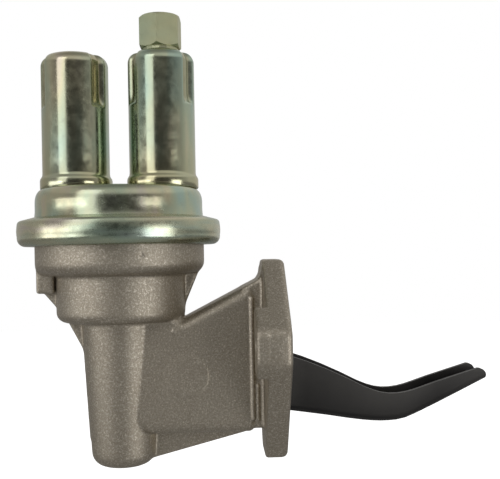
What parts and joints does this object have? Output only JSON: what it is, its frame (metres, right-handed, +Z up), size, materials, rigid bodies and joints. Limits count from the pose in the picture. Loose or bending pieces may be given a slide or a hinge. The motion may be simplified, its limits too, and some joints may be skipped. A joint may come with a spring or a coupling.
{
  "type": "mechanical fuel pump",
  "caption": "Lever-driven diaphragm fuel pump: upright port towers on a crimped steel cover, cast body with bolt flange, and a pressed rocker arm that works the diaphragm.",
  "frame": {"origin": "on the machined mounting face, in the pump's middle plane, on the land between the arm's opening and the top of the flange", "axes": "+X out of the mounting face along the rocker arm, +Z up along the pump's axis towards the port towers, +Y across the pump, away from the side with the blind end of the pivot pin"},
  "size_m": [0.2034, 0.088, 0.196],
  "materials": {
    "cast_aluminium": "sand-textured die casting, matt",
    "yellow_zinc": "glossy zinc plate with yellow and green chromate tints",
    "olive_zinc": "satin olive-grey zinc plate",
    "black_steel": "oiled black finish, satin",
    "rubber": "matt black rubber",
    "spring_steel": "bare drawn wire",
    "plain_steel": "bare turned or stamped steel",
    "brass": "bare turned brass"
  },
  "bodies": {
    "housing": {"body_casting": "cast_aluminium", "crimp_ring": "yellow_zinc", "top_cover": "yellow_zinc", "inlet_tower": "yellow_zinc", "outlet_tower": "yellow_zinc", "inlet_port_insert": "olive_zinc", "outlet_port_insert": "olive_zinc", "outlet_hex_fitting": "olive_zinc", "inlet_valve_body": "brass", "outlet_valve_body": "brass", "inlet_valve_spring": "spring_steel", "outlet_valve_spring": "spring_steel", "inlet_valve_stem": "plain_steel", "outlet_valve_stem": "plain_steel", "diaphragm": "rubber", "diaphragm_spring": "spring_steel", "rod_seal": "rubber", "seal_retainer": "plain_steel", "pivot_pin": "plain_steel", "pin_plug": "plain_steel", "return_spring": "spring_steel"},
    "rocker": {"rocker_arm": "black_steel"},
    "pull_link": {"link": "plain_steel"},
    "plunger": {"pull_rod": "plain_steel", "rod_washer": "plain_steel", "upper_diaphragm_plate": "plain_steel", "lower_diaphragm_plate": "plain_steel"},
    "inlet_disc": {"inlet_valve_disc": "rubber"},
    "outlet_disc": {"outlet_valve_disc": "rubber"}
  },
  "joints": [
    {"name": "arm_pivot", "type": "hinge", "parent": "housing", "child": "rocker", "pos_m": [-0.0438, 0, -0.035], "axis": [0, -1, 0], "range_deg": [0, 12], "stiffness_Nm_per_rad": 1.5, "springref_deg": -20.05, "deforming": ["return_spring"]},
    {"name": "link_pivot", "type": "hinge", "parent": "housing", "child": "pull_link", "pos_m": [-0.0438, 0, -0.035], "axis": [0, -1, 0], "range_deg": [0, 12]},
    {"name": "plunger_slide", "type": "slide", "parent": "housing", "child": "plunger", "axis": [0, 0, -1], "range_m": [0, 0.0058], "deforming": ["diaphragm_spring", "diaphragm"]},
    {"name": "inlet_valve_lift", "type": "slide", "parent": "housing", "child": "inlet_disc", "axis": [0, 0, -1], "range_m": [0, 0.0012], "stiffness_N_per_m": 5, "springref_m": -0.001, "deforming": ["inlet_valve_spring"]},
    {"name": "outlet_valve_lift", "type": "slide", "parent": "housing", "child": "outlet_disc", "axis": [0, 0, 1], "range_m": [0, 0.0012], "stiffness_N_per_m": 5, "springref_m": -0.001, "deforming": ["outlet_valve_spring"]}
  ],
  "couplings": [
    {"joint": "link_pivot", "follows": "arm_pivot", "ratio": 1},
    {"joint": "plunger_slide", "follows": "arm_pivot", "m_per_rad": 0.0276}
  ]
}
